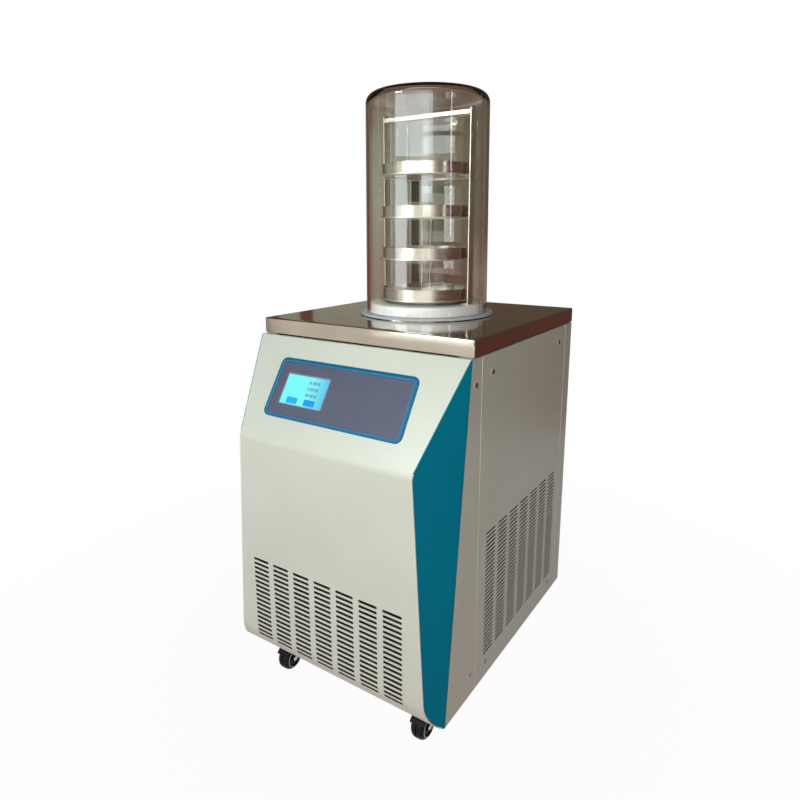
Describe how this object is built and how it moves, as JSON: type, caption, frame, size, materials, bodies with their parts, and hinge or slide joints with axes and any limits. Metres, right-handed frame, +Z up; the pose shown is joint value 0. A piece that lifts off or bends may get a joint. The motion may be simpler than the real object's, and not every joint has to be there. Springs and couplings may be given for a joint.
{
  "type": "laboratory freeze dryer",
  "caption": "Floor-standing vertical freeze dryer on casters: slanted control face, polished top plate, and a clear drum over a stack of round drying trays.",
  "frame": {"origin": "centre of the bounding box's base, on the floor", "axes": "+Z up, -Y towards the control panel and the operator, +X to the operator's right"},
  "size_m": [0.4716, 0.619, 1.1745],
  "materials": {
    "cream_paint": "fine textured powder coat",
    "teal_paint": "satin powder coat",
    "frame_paint": "satin grey",
    "polished_steel": "polished stainless sheet",
    "steel": "stainless",
    "screw_steel": "bright plated",
    "clear_drum": "clear moulded acrylic",
    "white_plastic": "turned white plastic",
    "black_rubber": "matt",
    "grey_silicone": "smooth",
    "filter_mat": "open filter mat",
    "copper": "drawn copper tube",
    "valve_brass": "turned brass",
    "foam": "rigid foam",
    "black_enamel": "gloss enamel",
    "fin_aluminium": "bare fins",
    "dark_metal": "satin grey",
    "black_plastic": "moulded",
    "red_plastic": "dipped",
    "bezel_blue": "moulded frame",
    "panel_film": "printed film on a plate",
    "screen_glass": "lit display",
    "contact_metal": "plated contacts"
  },
  "bodies": {
    "cabinet": {"base_frame": "frame_paint", "front_cover": "cream_paint", "cheek_left": "teal_paint", "cheek_right": "teal_paint", "side_panel_left": "cream_paint", "side_panel_right": "cream_paint", "rear_panel": "cream_paint", "vent_screens": "filter_mat", "panel_screws": "screw_steel", "top_plate": "polished_steel", "seat_flange": "polished_steel", "seal_ring": "grey_silicone", "support_ring": "white_plastic", "drum": "clear_drum", "rack_frame": "steel", "rack_shelves": "steel", "tray_1": "steel", "tray_2": "steel", "tray_3": "steel", "tray_4": "steel", "cold_trap": "steel", "evaporator_coil": "copper", "trap_insulation": "foam", "compressor": "black_enamel", "compressor_feet": "black_rubber", "condenser": "fin_aluminium", "fan_shroud": "dark_metal", "fan_motor": "dark_metal", "filter_drier": "copper", "suction_line": "copper", "discharge_line": "copper", "liquid_line": "copper", "expansion_line": "copper", "vacuum_pipe": "steel", "drain_pipe": "steel", "drain_valve": "valve_brass", "controller": "dark_metal", "power_supply": "steel", "panel_bezel": "bezel_blue", "panel_overlay": "panel_film", "touch_screen": "screen_glass", "power_entry": "black_plastic", "inlet_pins": "contact_metal", "pump_socket": "black_plastic", "caster_plates": "steel"},
    "fan": {"fan_rotor": "black_plastic"},
    "drain_handle": {"drain_lever": "red_plastic"},
    "rocker": {"switch_rocker": "black_plastic"},
    "caster_1": {"caster_body_1": "black_plastic"},
    "roller_1_left": {"wheel_1_left": "black_plastic"},
    "roller_1_right": {"wheel_1_right": "black_plastic"},
    "caster_2": {"caster_body_2": "black_plastic"},
    "roller_2_left": {"wheel_2_left": "black_plastic"},
    "roller_2_right": {"wheel_2_right": "black_plastic"},
    "caster_3": {"caster_body_3": "black_plastic"},
    "roller_3_left": {"wheel_3_left": "black_plastic"},
    "roller_3_right": {"wheel_3_right": "black_plastic"},
    "caster_4": {"caster_body_4": "black_plastic"},
    "roller_4_left": {"wheel_4_left": "black_plastic"},
    "roller_4_right": {"wheel_4_right": "black_plastic"}
  },
  "joints": [
    {"name": "fan_spin", "type": "hinge", "parent": "cabinet", "child": "fan", "pos_m": [0, -0.19462, 0.205], "axis": [0, 1, 0], "continuous": true},
    {"name": "drain_turn", "type": "hinge", "parent": "cabinet", "child": "drain_handle", "pos_m": [0, 0.2925, 0.492], "axis": [0, 0, -1], "range_deg": [0, 90]},
    {"name": "switch_rock", "type": "hinge", "parent": "cabinet", "child": "rocker", "pos_m": [0.15, 0.2785, 0.171], "axis": [-1, 0, 0], "range_deg": [0, 16]},
    {"name": "swivel_1", "type": "hinge", "parent": "cabinet", "child": "caster_1", "pos_m": [-0.166, -0.2115, 0.081], "axis": [0, 0, 1], "continuous": true},
    {"name": "roll_1_left", "type": "hinge", "parent": "caster_1", "child": "roller_1_left", "pos_m": [-0.166, -0.2315, 0.0255], "axis": [1, 0, 0], "continuous": true},
    {"name": "roll_1_right", "type": "hinge", "parent": "caster_1", "child": "roller_1_right", "pos_m": [-0.166, -0.2315, 0.0255], "axis": [1, 0, 0], "continuous": true},
    {"name": "swivel_2", "type": "hinge", "parent": "cabinet", "child": "caster_2", "pos_m": [0.166, -0.2115, 0.081], "axis": [0, 0, 1], "continuous": true},
    {"name": "roll_2_left", "type": "hinge", "parent": "caster_2", "child": "roller_2_left", "pos_m": [0.166, -0.2315, 0.0255], "axis": [1, 0, 0], "continuous": true},
    {"name": "roll_2_right", "type": "hinge", "parent": "caster_2", "child": "roller_2_right", "pos_m": [0.166, -0.2315, 0.0255], "axis": [1, 0, 0], "continuous": true},
    {"name": "swivel_3", "type": "hinge", "parent": "cabinet", "child": "caster_3", "pos_m": [-0.166, 0.2295, 0.081], "axis": [0, 0, 1], "continuous": true},
    {"name": "roll_3_left", "type": "hinge", "parent": "caster_3", "child": "roller_3_left", "pos_m": [-0.166, 0.2095, 0.0255], "axis": [1, 0, 0], "continuous": true},
    {"name": "roll_3_right", "type": "hinge", "parent": "caster_3", "child": "roller_3_right", "pos_m": [-0.166, 0.2095, 0.0255], "axis": [1, 0, 0], "continuous": true},
    {"name": "swivel_4", "type": "hinge", "parent": "cabinet", "child": "caster_4", "pos_m": [0.166, 0.2295, 0.081], "axis": [0, 0, 1], "continuous": true},
    {"name": "roll_4_left", "type": "hinge", "parent": "caster_4", "child": "roller_4_left", "pos_m": [0.166, 0.2095, 0.0255], "axis": [1, 0, 0], "continuous": true},
    {"name": "roll_4_right", "type": "hinge", "parent": "caster_4", "child": "roller_4_right", "pos_m": [0.166, 0.2095, 0.0255], "axis": [1, 0, 0], "continuous": true}
  ]
}
